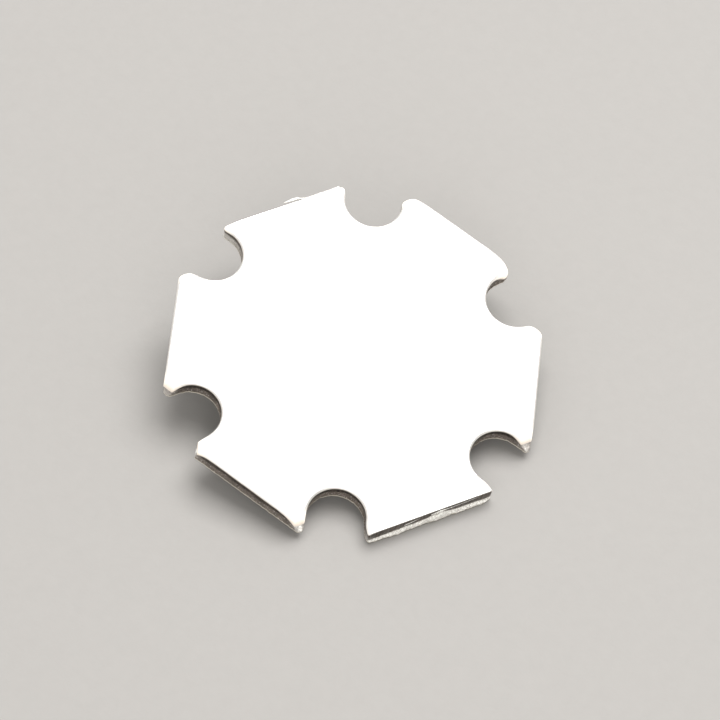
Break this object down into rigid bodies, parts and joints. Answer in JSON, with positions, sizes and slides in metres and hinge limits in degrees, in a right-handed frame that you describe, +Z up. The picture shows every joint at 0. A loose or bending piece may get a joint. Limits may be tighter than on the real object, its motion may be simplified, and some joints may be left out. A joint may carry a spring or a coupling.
{
  "type": "high power led",
  "caption": "Star-shaped aluminium circuit board with screw notches round its rim, carrying a small LED under a clear dome; it lies face down, its bare back looking up.",
  "frame": {"origin": "centre of the bare back face of the board, which looks up", "axes": "+Z up; the board lies face down on its lens and on the lower edge of the side towards -Y, so it is tipped about X by 12.45 degrees; +X runs along that side, from notch to notch"},
  "size_m": [0.0208, 0.0199, 0.0054],
  "materials": {
    "aluminium_sheet": "bare satin sheet with sheared edges",
    "dielectric": "ceramic-filled epoxy",
    "copper": "etched copper foil",
    "solder_mask": "white screen-printed solder mask",
    "solder": "tin solder, slightly dull",
    "gold_plating": "thin gold plating",
    "ceramic": "fired alumina, matt",
    "via_metal": "copper fill",
    "printed_ink": "black screen-printed ink",
    "silver_lands": "silver plated",
    "led_chip": "polished semiconductor",
    "phosphor": "yellow phosphor in silicone",
    "silicon_chip": "polished silicon",
    "clear_silicone": "clear moulded silicone"
  },
  "bodies": {
    "root": {"base_plate": "aluminium_sheet", "dielectric_layer": "dielectric", "copper_anode": "copper", "copper_cathode": "copper", "copper_thermal": "copper", "solder_mask": "solder_mask", "polarity_print": "printed_ink", "wire_pads_anode": "solder", "wire_pads_cathode": "solder", "solder_joint_anode": "solder", "solder_joint_cathode": "solder", "solder_joint_thermal": "solder", "package_pad_anode": "gold_plating", "package_pad_cathode": "gold_plating", "package_pad_thermal": "gold_plating", "ceramic_body": "ceramic", "vias_anode": "via_metal", "vias_cathode": "via_metal", "land_anode": "silver_lands", "land_cathode": "silver_lands", "die_attach": "gold_plating", "led_die": "led_chip", "die_bond_pads": "gold_plating", "phosphor_coat": "phosphor", "bond_wires": "gold_plating", "esd_diode": "silicon_chip", "esd_wire": "gold_plating", "lens": "clear_silicone"}
  },
  "joints": []
}
